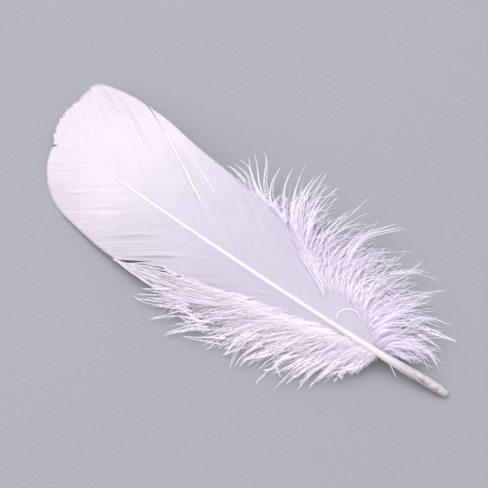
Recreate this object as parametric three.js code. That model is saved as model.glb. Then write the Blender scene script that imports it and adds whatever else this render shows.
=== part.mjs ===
// Goose body feather, lying on its hollow side, 150 mm from quill end to tip.
// Millimetres, +Z up. The shaft runs along X: quill end at +X, tip at -X.
// The near side of the feather is -Y and the far side is +Y.
import * as THREE from 'three';

// ---- driving dimensions -----------------------------------------------------
const LENGTH = 150;           // chord of the shaft, quill end to tip
const ARCH = 9;               // how high the shaft rises above its chord
const TIP_RISE = 0.6;         // the chord climbs this much from the quill end to the tip
const BOW = 2.4;              // how far the shaft bends sideways, to the near side
const CAMBER = 3.2;           // droop of a vane at HALF_WIDTH from the shaft
const HALF_WIDTH = 22;        // shaft to vane edge, about the middle of the vane
const ROLL_DEG = 8;           // the feather leans over on its near edge
const VANE_ABOVE = 0.2;       // vane surface to its upper face
const VANE_BELOW = 0.25;      // vane surface to its lower face
const GAP = 0.35;             // clear space between neighbouring pieces
const QUILL_RADIUS = 1.15;    // at the blunt end, which rests on the ground
const SHAFT_END = 147;        // the shaft dies out between the barbs of the tip

// Distance from the quill end, then the shaft's radius there.
const SHAFT_RADIUS = [[0, QUILL_RADIUS], [2.5, 1.4], [7, 1.52], [17, 1.38], [26, 1.16], [36, 0.92],
  [50, 0.74], [80, 0.56], [110, 0.38], [135, 0.2], [SHAFT_END, 0.12]];

// Outer edge of each vane: distance from the quill end, then from the shaft's axis.
const VANE_START = 33;        // the web begins here, at a point beside the shaft
const VANE_END = 147.5;
const FAR_EDGE = [[33, 2], [39, 4.2], [47, 6.4], [54, 10.8], [62, 16], [76, 19.8], [90, 21.6],
  [105, 23.1], [121, 25.6], [136, 25.6], [145.5, 24], [149.6, 21.4], [150.2, 15], [151.1, 9.8],
  [150.6, 4.8], [149.6, 1]];
const NEAR_EDGE = [[33, 2], [53, 8.1], [75, 11.6], [92, 15.2], [99, 18], [106, 20.2],
  [112, 20.8], [122, 19.8], [132, 18.4], [138, 15.9], [142, 12.7], [145, 8.6], [146.9, 4],
  [148, 0.9]];
const FAR_WEB_JOIN = 93;      // down grows beside the far vane up to here
const NEAR_WEB_JOIN = 98;     // and beside the near vane up to here

// Tips of the down: distance from the quill end, then sideways from the chord.
const DOWN_START = 15;        // first down barb on the bare calamus
const FAR_TIPS = [[6, 6], [6, 16], [12, 22], [24, 29], [38, 35], [52, 39.5], [64, 38],
  [76, 35.5], [86, 32], [95, 25]];
const NEAR_TIPS = [[17, 3.4], [25, 9.5], [32, 16], [43, 23], [56, 27], [70, 30], [81, 30.5],
  [91, 27.5], [99, 21.5]];
const DOWN_RIM = 2.2;         // height of the down at its tips
const DOWN_LOFT = 1.6;        // how far the down swells above a straight slope
const DOWN_SKIRT = 1.5;       // depth of the down where it meets the vane
const SKIRT_RUN = 0.4;        // share of the down's width in which it reaches the ground

// ---- the feather's own surface ----------------------------------------------
const ROLL = THREE.MathUtils.degToRad(ROLL_DEG);
const rise = THREE.MathUtils.smoothstep;
const lerp = THREE.MathUtils.lerp;

function spline(points) {
  return new THREE.SplineCurve(points.map(([along, across]) => new THREE.Vector2(along, across)));
}

// A parabola: 0 at both ends of the shaft and 1 halfway.
function hump(along) {
  const t = along / LENGTH;
  return 4 * t * (1 - t);
}

// Radius of the shaft at a distance from the quill end.
function shaftRadius(along) {
  let k = 1;
  while (k < SHAFT_RADIUS.length - 1 && SHAFT_RADIUS[k][0] < along) k += 1;
  const [a, ra] = SHAFT_RADIUS[k - 1];
  const [b, rb] = SHAFT_RADIUS[k];
  return lerp(ra, rb, THREE.MathUtils.clamp((along - a) / (b - a), 0, 1));
}

// A point of the feather: distance from the quill end, distance from the shaft's
// axis (far side positive) and height above the vane's surface.
function onFeather(along, across, lift) {
  const y = across - BOW * hump(along);
  const climb = TIP_RISE * along / LENGTH + ARCH * hump(along);
  const z = climb - CAMBER * (across / HALF_WIDTH) ** 2 + lift;
  return new THREE.Vector3(
    LENGTH / 2 - along,
    y * Math.cos(ROLL) - z * Math.sin(ROLL),
    y * Math.sin(ROLL) + z * Math.cos(ROLL) + QUILL_RADIUS,
  );
}

// Bends a closed solid: place() maps each vertex to its new position.
function bend(geometry, place) {
  const position = geometry.attributes.position;
  const point = new THREE.Vector3();
  for (let i = 0; i < position.count; i += 1) {
    point.fromBufferAttribute(position, i);
    const moved = place(point);
    position.setXYZ(i, moved.x, moved.y, moved.z);
  }
  geometry.computeVertexNormals();
  return geometry;
}

// Turns every face over, for a solid that its bend has mirrored.
function flip(geometry) {
  const index = geometry.index;
  for (let i = 0; i < index.count; i += 3) {
    const first = index.getX(i);
    index.setX(i, index.getX(i + 1));
    index.setX(i + 1, first);
  }
  geometry.computeVertexNormals();
}

function material(color, roughness) {
  return new THREE.MeshStandardMaterial({ color, roughness, metalness: 0 });
}

// ---- shaft: the calamus and the rachis, one tapering horn rod ---------------
const SHAFT_RINGS = 60;
const SHAFT_SIDES = 12;

function makeShaft() {
  const rod = new THREE.CylinderGeometry(1, 1, 1, SHAFT_SIDES, SHAFT_RINGS);
  const shape = bend(rod, (p) => {
    const along = (0.5 - p.y) * SHAFT_END;
    const r = shaftRadius(along);
    return onFeather(along, 0, 0).add(new THREE.Vector3(0, -p.x * r, p.z * r));
  });
  const mesh = new THREE.Mesh(shape, material(0xf3ece6, 0.35));
  mesh.name = 'shaft';
  return mesh;
}

// ---- vanes: a thin cambered web on each side of the shaft -------------------
const VANE_STATIONS = 60;
const VANE_STRIPS = 6;

function makeVane(name, side, edge) {
  const outer = spline(edge);
  const sheet = new THREE.BoxGeometry(1, 1, 1, VANE_STATIONS, VANE_STRIPS, 1);
  const shape = bend(sheet, (p) => {
    const station = p.x + 0.5;
    const fraction = p.y + 0.5;
    const root = lerp(VANE_START, VANE_END, station);
    const rim = outer.getPointAt(station);
    const along = lerp(root, rim.x, fraction);
    const across = lerp(shaftRadius(root) + GAP, rim.y, fraction);
    const lift = p.z > 0 ? VANE_ABOVE : -VANE_BELOW;
    return onFeather(along, side * across, lift);
  });
  // The box's X runs to -X here, so only the far side keeps its faces outward.
  if (side > 0) flip(shape);
  const mesh = new THREE.Mesh(shape, material(0xf2ebf4, 0.7));
  mesh.name = name;
  return mesh;
}

// ---- down: a loose fringe that spreads from the foot of each vane -----------
const DOWN_STATIONS = 44;
const DOWN_STRIPS = 5;
const SHAFT_SHARE = 0.24;     // share of the stations along the bare shaft
const WEB_ONSET = 4;          // the inner line leaves the shaft over this length
const SEARCH_STEP = 0.002;    // of a vane edge's length, in looking for where down ends

// Inner line of the down: along the shaft's side, then along the vane's edge.
function downRoots(edge, join) {
  const outer = spline(edge);
  let last = 0;
  while (outer.getPointAt(last).x < join) last += SEARCH_STEP;
  return (station) => {
    if (station < SHAFT_SHARE) {
      const along = lerp(DOWN_START, VANE_START, station / SHAFT_SHARE);
      const r = shaftRadius(along);
      const web = rise(along, VANE_START - WEB_ONSET, VANE_START) * (edge[0][1] - r);
      return new THREE.Vector2(along, r + GAP + web);
    }
    const t = (station - SHAFT_SHARE) / (1 - SHAFT_SHARE);
    return outer.getPointAt(t * last).add(new THREE.Vector2(0, GAP));
  };
}

function makeDown(name, side, edge, join, tips) {
  const roots = downRoots(edge, join);
  const outer = spline(tips);
  const pad = new THREE.BoxGeometry(1, 1, 1, DOWN_STATIONS, DOWN_STRIPS, 1);
  const shape = bend(pad, (p) => {
    const station = p.x + 0.5;
    const fraction = p.y + 0.5;
    const root = roots(station);
    const start = onFeather(root.x, side * root.y, 0);
    const tip = outer.getPointAt(station);
    const x = lerp(start.x, LENGTH / 2 - tip.x, fraction);
    const y = lerp(start.y, side * tip.y, fraction);
    const foot = Math.max(0, start.z - DOWN_SKIRT) * (1 - rise(fraction, 0, SKIRT_RUN));
    const crest = lerp(start.z, DOWN_RIM, fraction) + DOWN_LOFT * Math.sin(Math.PI * fraction);
    return new THREE.Vector3(x, y, p.z > 0 ? crest : foot);
  });
  if (side > 0) flip(shape);
  const mesh = new THREE.Mesh(shape, material(0xefe8f2, 0.9));
  mesh.name = name;
  return mesh;
}

// ---- the feather, with its origin under the middle of its box ---------------
const feather = new THREE.Group();
feather.add(
  makeShaft(),
  makeVane('far_vane', 1, FAR_EDGE),
  makeVane('near_vane', -1, NEAR_EDGE),
  makeDown('far_down', 1, FAR_EDGE, FAR_WEB_JOIN, FAR_TIPS),
  makeDown('near_down', -1, NEAR_EDGE, NEAR_WEB_JOIN, NEAR_TIPS),
);

const box = new THREE.Box3().setFromObject(feather);
const middle = box.getCenter(new THREE.Vector3());
feather.position.set(-middle.x, -middle.y, -box.min.z);

export default feather;
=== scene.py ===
# %% [markdown]
# # A goose feather, barb by barb
# A feather is a horn rod with hundreds of side branches, called barbs. Along most of the rod
# the barbs hook together into a closed web, the vane. Near the quill they have no hooks, and
# hang loose as down. This script grows the feather the same way: one rod, a row of barbs on
# each side of it, and loose plumes of down around its foot.
#
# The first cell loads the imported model. Its solids say where every piece goes.

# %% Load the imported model
import math

import bpy
import numpy as np
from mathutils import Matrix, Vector


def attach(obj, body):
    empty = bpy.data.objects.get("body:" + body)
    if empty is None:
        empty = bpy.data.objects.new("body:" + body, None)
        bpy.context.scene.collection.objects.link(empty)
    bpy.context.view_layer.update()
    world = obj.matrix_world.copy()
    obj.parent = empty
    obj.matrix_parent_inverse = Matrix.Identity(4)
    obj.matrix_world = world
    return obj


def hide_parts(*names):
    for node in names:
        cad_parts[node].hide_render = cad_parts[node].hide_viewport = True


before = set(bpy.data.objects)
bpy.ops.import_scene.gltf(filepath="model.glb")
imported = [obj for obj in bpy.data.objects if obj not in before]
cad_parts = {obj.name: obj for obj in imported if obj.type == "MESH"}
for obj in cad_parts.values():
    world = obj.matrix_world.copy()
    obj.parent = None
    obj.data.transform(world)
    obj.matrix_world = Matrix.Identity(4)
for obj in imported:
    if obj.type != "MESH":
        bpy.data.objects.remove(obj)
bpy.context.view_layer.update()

print("nodes:", sorted(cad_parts))

# %% [markdown]
# ## One set of sizes
# Blender works in metres and a feather is measured in millimetres, so every size below is in
# millimetres and `MM` turns it into metres at the end. The shaft is a shallow arch that also
# bends a little sideways, and the vanes droop away from it. `on_feather` puts those bends in
# one place: it takes a flat position (how far along the shaft, how far across from it, how
# high above the vane) and gives the place in space. Everything is drawn flat first and bent
# by it afterwards, which is much easier than drawing on a curved sheet.

# %% The bent sheet that everything lies on
MM = 0.001
LENGTH = 150.0         # chord of the shaft, from the quill end to the tip
ARCH = 9.0             # rise of the shaft above its chord
TIP_RISE = 0.6         # the tip of the chord is this much higher than the quill end
BOW = 2.4              # sideways bend, to the near side
CAMBER = 3.2           # droop of a vane at HALF_WIDTH from the shaft
HALF_WIDTH = 22.0
ROLL = math.radians(8)  # the feather leans over on its near edge

corners = np.array([vertex.co for vertex in bpy.data.objects["shaft"].data.vertices])
end_ring = corners[corners[:, 0] > corners[:, 0].max() - 0.01 * MM]
quill_end = (end_ring.min(axis=0) + end_ring.max(axis=0)) / 2


def hump(along):
    """A parabola: 0 at both ends of the shaft and 1 halfway."""
    return 4 * (along / LENGTH) * (1 - along / LENGTH)


def on_feather(along, across, lift=0.0):
    """A place in space, in metres. The far side of the shaft has a positive `across`."""
    y = across - BOW * hump(along)
    climb = TIP_RISE * along / LENGTH + ARCH * hump(along)
    z = climb - CAMBER * (across / HALF_WIDTH) ** 2 + lift
    x = quill_end[0] - along * MM
    level = quill_end[1] + (y * math.cos(ROLL) - z * math.sin(ROLL)) * MM
    height = quill_end[2] + (y * math.sin(ROLL) + z * math.cos(ROLL)) * MM
    return np.stack([x + 0 * level, level, height], axis=-1)


print("quill end at", (quill_end / MM).round(2), "mm")

# %% [markdown]
# ## The camera
# A long lens a good way off keeps the feather's proportions true. The camera looks steeply
# down, because a feather shows its shape from above. Lamps and camera are both placed by two
# angles and a distance from one aim point, as if walking round a table: azimuth 0 is straight
# in front of the near edge, and elevation 90 is overhead.

# %% Camera
CAMERA_AZIMUTH, CAMERA_ELEVATION = 35.46, 68  # degrees
CAMERA_DISTANCE = 0.4169                      # metres
LENS = 100                                    # focal length in mm
NEAREST = 0.01                                # what is closer than this isn't drawn, metres
aim = Vector(quill_end) + Vector((-76.38, 2.97, 4.85)) * MM  # near the middle of the shaft


def towards(azimuth, elevation):
    """The direction from the feather out to a camera or a lamp, from angles in degrees."""
    azimuth, elevation = math.radians(azimuth), math.radians(elevation)
    flat = math.cos(elevation)
    return Vector((math.sin(azimuth) * flat, -math.cos(azimuth) * flat, math.sin(elevation)))


def look_at(thing, azimuth, elevation, distance):
    """Puts a camera or a lamp at a distance from the aim point, facing it."""
    away = towards(azimuth, elevation)
    thing.location = aim + away * distance
    thing.rotation_euler = away.to_track_quat("Z", "Y").to_euler()
    bpy.context.scene.collection.objects.link(thing)


camera = bpy.data.objects.new("camera", bpy.data.cameras.new("camera"))
camera.data.lens = LENS
camera.data.clip_start = NEAREST
look_at(camera, CAMERA_AZIMUTH, CAMERA_ELEVATION, CAMERA_DISTANCE)
bpy.context.scene.camera = camera
print("camera at", [round(c / MM) for c in camera.location], "mm")

# %% [markdown]
# ## Three soft lamps
# Barbs are so fine that only light from the side shows them. The window lamp stands high
# behind the tip and rakes across them, the fill on the other side keeps the shadows open,
# and a weak one in front lights the down that faces the camera. All are large squares, so
# every shadow has a soft edge. The view transform "Standard" shows colours as they are
# mixed; the default one would grey the whites.

# %% Lamps
LAMPS = {  # azimuth and elevation in degrees, distance and size in metres, watts
    "window": (-110, 66, 0.9, 0.8, 6.2),
    "fill": (150, 74, 1.2, 1.2, 4.0),
    "front": (15, 50, 1.1, 1.0, 2.0),
}
for name, (azimuth, elevation, distance, size, watts) in LAMPS.items():
    lamp = bpy.data.objects.new(name, bpy.data.lights.new(name, "AREA"))
    lamp.data.size = size
    lamp.data.energy = watts
    look_at(lamp, azimuth, elevation, distance)
    print(f"{name} lamp: {watts} W, {distance} m away")
bpy.context.scene.view_settings.view_transform = "Standard"

# %% [markdown]
# ## Two helpers for materials
# A colour picked on a screen is an sRGB hex value, and Blender's shaders want linear light,
# so `linear` turns one into the other. `add` makes one node, sets its values and joins its
# inputs: a value that is a socket becomes a link, and anything else is set as a number. Some
# nodes have many sockets of one name, so `_6` means the socket at place 6.

# %% Colour and node helpers
def linear(hex_colour):
    """Linear RGBA from a colour such as "f2ecf4"."""
    parts = [int(hex_colour[i:i + 2], 16) / 255 for i in (0, 2, 4)]
    parts = [p / 12.92 if p <= 0.04045 else ((p + 0.055) / 1.055) ** 2.4 for p in parts]
    return (*parts, 1.0)


def add(tree, kind, settings=None, **inputs):
    """A new node. `inputs` names its sockets, with _ for a space, as in Base_Color."""
    node = tree.nodes.new(kind)
    for key, value in (settings or {}).items():
        setattr(node, key, value)
    for key, value in inputs.items():
        socket = node.inputs[int(key[1:]) if key[1:].isdigit() else key.replace("_", " ")]
        if isinstance(value, bpy.types.NodeSocket):
            tree.links.new(value, socket)
        else:
            socket.default_value = value
    return node


def new_material(name):
    """An empty node material and its output node."""
    material = bpy.data.materials.new(name)
    material.use_nodes = True
    material.node_tree.nodes.clear()
    return material, add(material.node_tree, "ShaderNodeOutputMaterial")


print("mid grey in linear light:", round(linear("808080")[0], 3))


# %% [markdown]
# ## The table and the room
# White down needs something darker behind it to be seen at all, so the table is pale grey
# and not white. It is a board with matt emulsion paint, which scatters light evenly and has
# no gloss that could pull the eye from the feather. The paint roller leaves a stipple of
# about 1 mm: a noise of scale 900 has some 900 lumps to the metre. Past the table the room
# gives an even, slightly cool light from all round.

# %% Painted table and the room
TABLE_SIZE = 6.0       # metres, so that it reaches past the edge of every view


def painted_board():
    """Matt emulsion on board: an even pale grey with a very faint roller stipple."""
    material, output = new_material("painted_board")
    tree = material.node_tree
    place = add(tree, "ShaderNodeTexCoord")
    stipple = add(tree, "ShaderNodeTexNoise", Vector=place.outputs["Object"], Scale=900.0)
    tint = add(tree, "ShaderNodeMix", {"data_type": "RGBA"}, Factor=stipple.outputs["Fac"],
               _6=linear("8a8b90"), _7=linear("909196"))
    paint = add(tree, "ShaderNodeBsdfPrincipled", Base_Color=tint.outputs[2], Roughness=0.8)
    tree.links.new(paint.outputs["BSDF"], output.inputs["Surface"])
    return material


half = TABLE_SIZE / 2
table_mesh = bpy.data.meshes.new("table")
table_mesh.from_pydata([(-half, -half, 0), (half, -half, 0), (half, half, 0), (-half, half, 0)],
                       [], [(0, 1, 2, 3)])
table = bpy.data.objects.new("table", table_mesh)
table_mesh.materials.append(painted_board())
bpy.context.scene.collection.objects.link(table)

room = bpy.data.worlds.new("room")
room.use_nodes = True
air = room.node_tree.nodes["Background"]
air.inputs["Color"].default_value = linear("e4e5ea")
air.inputs["Strength"].default_value = 1.0
bpy.context.scene.world = room
print("table and room:", table.dimensions.to_tuple(1))

# %% [markdown]
# ## Meshes from arrays
# The feather has hundreds of thousands of small faces. Making them one at a time in Python
# would take minutes, so NumPy works out whole arrays of corners, and `make_piece` hands
# them to Blender in one go. It also stores numbers on every corner for the materials to
# read, such as which barb it belongs to and how far out along the barb it is. The UV map is
# simply the feather seen from above, with a little room left at its border.

# %% Arrays to a Blender piece
UV_ROOM = 1.02         # the map is this much wider than the piece


def make_piece(name, points, faces, notes, material, slot, smooth=True):
    """A mesh object from corners (metres), triangles and per-corner notes."""
    mesh = bpy.data.meshes.new(name)
    mesh.vertices.add(len(points))
    mesh.vertices.foreach_set("co", points.astype(np.float32).ravel())
    mesh.loops.add(faces.size)
    mesh.loops.foreach_set("vertex_index", faces.astype(np.int32).ravel())
    mesh.polygons.add(len(faces))
    mesh.polygons.foreach_set("loop_start", np.arange(0, faces.size, 3, dtype=np.int32))
    mesh.polygons.foreach_set("use_smooth", np.full(len(faces), smooth))
    for key, values in notes.items():
        layer = mesh.attributes.new(key, "FLOAT", "POINT")
        layer.data.foreach_set("value", values.astype(np.float32).ravel())
    widest = np.ptp(points, axis=0).max()
    from_above = (points[:, :2] - points[:, :2].min(axis=0)) / (UV_ROOM * widest)
    uv = mesh.uv_layers.new(name="OFBake")
    uv.data.foreach_set("uv", from_above[faces.ravel()].astype(np.float32).ravel())
    mesh.update()
    mesh.validate()
    mesh.materials.append(material)
    piece = bpy.data.objects.new(name, mesh)
    bpy.context.scene.collection.objects.link(piece)
    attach(piece, "root")
    print(f"{name}: {len(faces)} triangles")
    return piece


# %% [markdown]
# Four small helpers do most of the drawing. `unit` makes directions, `rise` is a soft switch
# from 0 to 1, `curve_through` turns a few measured places into a smooth line, and `waves`
# gives gentle chance: several sine waves laid over one another, which never repeat by eye.

# %% Small helpers for vectors and curves
TINY = 1e-12           # keeps a vector of no length from dividing by zero
WAVE_HEIGHT = 1.6      # about the height that the added waves reach


def unit(v):
    """Vectors of length 1."""
    return v / np.maximum(np.linalg.norm(v, axis=-1, keepdims=True), TINY)


def rise(x, start, end):
    """0 before start, 1 after end, and a smooth step between them."""
    t = np.clip((x - start) / (end - start), 0, 1)
    return t * t * (3 - 2 * t)


def curve_through(points, steps=40):
    """A dense smooth polyline through a few points (Catmull-Rom)."""
    p = np.array(points, float)
    p = np.vstack([2 * p[0] - p[1], p, 2 * p[-1] - p[-2]])
    t = np.linspace(0, 1, steps, endpoint=False)[:, None]
    parts = []
    for a, b, c, d in zip(p[:-3], p[1:-2], p[2:-1], p[3:]):
        parts.append(0.5 * (2 * b + (c - a) * t + (2 * a - 5 * b + 4 * c - d) * t ** 2
                            + (3 * b - a - 3 * c + d) * t ** 3))
    return np.vstack(parts + [p[-2:-1]])


def waves(x, seed, octaves=4):
    """Smooth random waves of x, about -1 to 1."""
    rng = np.random.default_rng(seed)
    total = 0 * x
    for octave in range(octaves):
        freq, phase = 2.0 ** octave * rng.uniform(0.8, 1.2), rng.uniform(0, 6.28)
        total = total + np.sin(freq * x + phase) / (octave + 1)
    return total / WAVE_HEIGHT


print("rise halfway:", rise(0.5, 0, 1), "places in a curve through 3:",
      len(curve_through([(0, 0), (1, 1), (2, 0)])))


# %% [markdown]
# ## The shaft
# The shaft is one piece of keratin, the stuff of nails. Its bare end, the calamus, is a
# clear tube with dry pith showing through in soft patches. Further up it turns solid and
# white, and thins out until it is lost between the barbs of the tip. A lathe would make it
# too perfect, so it is a tube of many rings whose radius changes with the angle as well.
# First come its sizes: how thick it is along its length, and how far it strays from the
# sheet's own parabola, since nothing that grows is a perfect curve.

# %% Sizes of the shaft
# distance from the quill end, then the radius there
SHAFT_RADIUS = curve_through([(0, 0.72), (0.6, 0.98), (1.5, 1.22), (2.9, 1.36), (3.5, 1.5),
                              (4.4, 1.48), (9, 1.52), (17, 1.38), (26, 1.16), (36, 0.94),
                              (50, 0.76), (80, 0.62), (95, 0.54), (110, 0.42), (122, 0.3),
                              (134, 0.16), (144, 0.06)])
SHAFT_END = 144.0
# distance from the quill end, then how far the shaft strays to the far side
SHAFT_DRIFT = curve_through([(0, 0.2), (8, 0.25), (14, 0), (22, -0.25), (32, -0.42), (60, -0.42),
                             (95, -0.38), (112, -0.28), (124, -0.1), (144, 0), (150, 0)])


def shaft_radius(along):
    """Mean radius of the shaft, in mm."""
    return np.interp(along, SHAFT_RADIUS[:, 0], SHAFT_RADIUS[:, 1])


def shaft_drift(along):
    """How far the shaft strays to the far side, in mm."""
    return np.interp(along, SHAFT_DRIFT[:, 0], SHAFT_DRIFT[:, 1])


print("shaft radius at 0, 10, 50 and 100 mm:", shaft_radius(np.array([0, 10, 50, 100])).round(2))

# %% [markdown]
# Then the tube itself. Its rings stand closest at the quill end, where most happens: a small
# pit where the blood supply went in, a lip, and a slanting collar. Fine lengthwise ribs run
# all the way. Up along the vane a groove opens underneath and the top is flattened, so that
# the shaft sits in the web and not on it.

# %% Mesh of the shaft
SHAFT_RINGS, SHAFT_SIDES = 400, 36
RING_CROWDING = 1.25   # above 1, the rings stand closer together at the quill end
COLLAR_SLANT = 0.9     # the collar near the end lies this much askew, in mm
PIT_RADIUS, PIT_DEPTH = 0.38, 1.2  # the radius as a share of the shaft's, the depth in mm
RIB_COUNTS, RIB_HEIGHTS = (9, 17), (0.012, 0.008)  # heights as shares of the radius
GROOVE_DEPTH, GROOVE_WIDTH = 0.22, 0.35  # a share of the radius; radians round the shaft
END_ROUGHNESS = 0.015  # unevenness of the last few millimetres, a share of the radius
TOP_FLATTENING = 0.48  # share of the height that the upper half loses along the vane
SHAFT_CLEARANCE = 0.13  # the shaft stands this much higher than the web, in mm


def shaft_rings():
    """Distance from the quill end and a share of the radius there, for every ring."""
    pit = [(PIT_DEPTH, 0.01), (PIT_DEPTH * 0.8, PIT_RADIUS * 0.7), (0.25, PIT_RADIUS), (0.03, 0.5)]
    lip = [(0.0, 0.7), (0.05, 0.88), (0.2, 0.97)]
    spaced = np.linspace(0, 1, SHAFT_RINGS) ** RING_CROWDING
    body = [(s, 1.0) for s in 0.4 + (SHAFT_END - 0.4) * spaced]
    return np.array(pit + lip + body + [(SHAFT_END + 0.15, 0.02)])


def shaft_mesh():
    """Corners, triangles and notes of the shaft."""
    rings = shaft_rings()
    along = rings[:, 0][:, None]
    turn = np.linspace(0, 2 * np.pi, SHAFT_SIDES, endpoint=False)[None, :]
    few, many = RIB_COUNTS
    ribs = 1 + RIB_HEIGHTS[0] * np.sin(few * turn + 0.05 * along)
    ribs = ribs + RIB_HEIGHTS[1] * np.sin(many * turn + 1.3)
    underneath = np.exp(-((turn - 1.5 * np.pi) / GROOVE_WIDTH) ** 2)
    groove = 1 - GROOVE_DEPTH * rise(along, 25, 55) * underneath
    rough = END_ROUGHNESS * np.sin(5 * turn + 2.1) * (1 - rise(along, 0.5, 4.5))
    askew = COLLAR_SLANT * np.cos(turn + 0.4) * rise(along, 0.8, 2.4) * (1 - rise(along, 5, 8))
    radius = shaft_radius(along + askew) * rings[:, 1][:, None] * (ribs * groove + rough)
    flatter = 1 - TOP_FLATTENING * rise(along, 30, 70) * (np.sin(turn) > 0)
    clear = SHAFT_CLEARANCE * rise(along, 35, 80)
    axis = on_feather(along, shaft_drift(along) + 0 * turn, clear)
    ring = np.stack([0 * radius, np.cos(turn) * radius, np.sin(turn) * radius * flatter], -1)
    points = axis + ring * MM

    count = len(rings)
    i = np.arange(count - 1)[:, None] * SHAFT_SIDES
    j = np.arange(SHAFT_SIDES)[None, :]
    k = (j + 1) % SHAFT_SIDES
    a, b, c, d = i + j, i + k, i + SHAFT_SIDES + k, i + SHAFT_SIDES + j
    quads = [np.stack([a, c, b], -1).reshape(-1, 3), np.stack([a, d, c], -1).reshape(-1, 3)]
    fan = np.arange(1, SHAFT_SIDES - 1)
    first = np.stack([0 * fan, fan, fan + 1], -1)
    last = np.stack([0 * fan, fan + 1, fan], -1) + (count - 1) * SHAFT_SIDES
    # `near` is 1 on the side that faces the near vane, and 0 on the far side
    notes = {"along": np.broadcast_to(along, radius.shape),
             "near": np.broadcast_to(0.5 - 0.5 * np.cos(turn), radius.shape)}
    return points.reshape(-1, 3), np.vstack(quads + [first, last]), notes


print("rings in the shaft:", len(shaft_rings()))


# %% [markdown]
# Keratin is a slightly clear, pale horn with an index of refraction near 1.54. What the eye
# sees is a soft satin gloss on ivory. Two noises give its colour: one for the patches of pith
# inside the bare quill, about 2.4 mm long and 0.7 mm wide, and one for the fibres, about
# 8 mm long and 0.17 mm thick, which is far coarser than life so that they show. The dark
# pith patches are kept to the near side and fade round the far side. That is real pith and
# also painted shade, for the shaded lower flank of the quill. They stop at the lip of the open
# end and fade from 8 mm up to 21 mm, where the shaft turns solid and white.

# %% Quill keratin
def quill_keratin():
    """Grown horn: ivory with a satin gloss, grey-violet pith, and painted shade on its near flank.
    """
    material, output = new_material("quill_keratin")
    tree = material.node_tree
    along = add(tree, "ShaderNodeAttribute", {"attribute_name": "along"}).outputs["Fac"]
    place = add(tree, "ShaderNodeTexCoord").outputs["Object"]
    stretch = add(tree, "ShaderNodeMapping", Vector=place, Scale=(420.0, 1500.0, 1500.0))
    pith = add(tree, "ShaderNodeTexNoise", Vector=stretch.outputs[0], Scale=1.0, Detail=3.0)
    fibre_place = add(tree, "ShaderNodeMapping", Vector=place, Scale=(120.0, 6000.0, 6000.0))
    fibre = add(tree, "ShaderNodeTexNoise", Vector=fibre_place.outputs[0], Scale=1.0, Detail=2.0)
    patches = add(tree, "ShaderNodeValToRGB", Fac=pith.outputs["Fac"])
    patches.color_ramp.elements[0].position = 0.38
    patches.color_ramp.elements[0].color = linear("867882")
    patches.color_ramp.elements[1].position = 0.6
    patches.color_ramp.elements[1].color = linear("b9adb3")
    upper = add(tree, "ShaderNodeMapRange", Value=along, From_Min=8.0, From_Max=21.0)
    lip = add(tree, "ShaderNodeMapRange", Value=along, From_Min=3.3, From_Max=2.7, To_Max=0.45)
    # painted shade: the pith patches stay on the near side, whose lower flank is in shade, and fade
    # round the far side
    near = add(tree, "ShaderNodeAttribute", {"attribute_name": "near"}).outputs["Fac"]
    back = add(tree, "ShaderNodeMapRange", Value=near, From_Min=0.8, From_Max=0.5, To_Max=0.5)
    ends = add(tree, "ShaderNodeMath", {"operation": "MAXIMUM"}, _0=upper.outputs[0],
               _1=lip.outputs[0])
    solid_or_lit = add(tree, "ShaderNodeMath", {"operation": "MAXIMUM"}, _0=ends.outputs[0],
                _1=back.outputs[0])
    body = add(tree, "ShaderNodeMix", {"data_type": "RGBA"}, Factor=solid_or_lit.outputs[0],
               _6=patches.outputs["Color"], _7=linear("d3cccd"))
    streak = add(tree, "ShaderNodeMapRange", Value=fibre.outputs["Fac"], From_Min=0.3,
                 From_Max=0.7, To_Min=0.9, To_Max=1.0)
    colour = add(tree, "ShaderNodeMix", {"data_type": "RGBA", "blend_type": "MULTIPLY"},
                 Factor=1.0, _6=body.outputs[2], _7=streak.outputs[0])
    bump = add(tree, "ShaderNodeBump", Height=fibre.outputs["Fac"], Strength=0.25,
               Distance=0.0001)
    horn = add(tree, "ShaderNodeBsdfPrincipled", Base_Color=colour.outputs[2], Roughness=0.55,
               IOR=1.54, Normal=bump.outputs[0])
    tree.links.new(horn.outputs["BSDF"], output.inputs["Surface"])
    return material


horn = quill_keratin()
shaft = make_piece("quill_shaft", *shaft_mesh(), horn, "quill_horn")
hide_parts("shaft")


# %% [markdown]
# ## Barbs as thin closed strips
# A barb of the vane is a thin strip with a raised rib down its middle, so its section is a
# flat triangle. `strips` builds any number of them at once from their centre lines. They are
# closed at both ends, so each is a true solid and not a sheet of paper with no thickness.

# %% Closed strips along many paths
def strips(paths, half_width, ridge, up):
    """Flat three-sided bars. paths: (bars, steps, 3) in metres; sizes in metres too."""
    bars, steps, _ = paths.shape
    forward = unit(np.gradient(paths, axis=1))
    side = unit(np.cross(forward, up))
    up = np.cross(side, forward)
    left = paths - side * half_width[..., None]
    right = paths + side * half_width[..., None]
    top = paths + up * ridge[..., None]
    points = np.stack([left, right, top], axis=2).reshape(-1, 3)
    base = (np.arange(bars)[:, None] * steps + np.arange(steps - 1)[None, :]).ravel() * 3
    l0, r0, t0 = base, base + 1, base + 2
    l1, r1, t1 = base + 3, base + 4, base + 5
    faces = [(l0, l1, r1), (l0, r1, r0), (r0, r1, t1), (r0, t1, t0), (t0, t1, l1), (t0, l1, l0)]
    start = np.arange(bars) * steps * 3
    end = start + (steps - 1) * 3
    faces += [(start, start + 1, start + 2), (end, end + 2, end + 1)]
    return points, np.vstack([np.stack(f, -1) for f in faces])


def per_corner(values):
    """Repeats a value of every path point for the three corners of its section."""
    return np.repeat(values.reshape(-1), 3)


print("each step of a bar has 6 triangles, and its two ends have 1 each")


# %% [markdown]
# ## The vanes
# Each vane is drawn by its outer edge. Every line of the table holds a place on the edge,
# the root on the shaft of the barb that ends there, and how much that barb bulges outward,
# as a share of its length. Barbs leave the shaft steeply and lean forward as they go. At the
# tip the last few millimetres of shaft feed the whole round end, so there the barbs are
# spaced by their ends and not by their roots.

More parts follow.
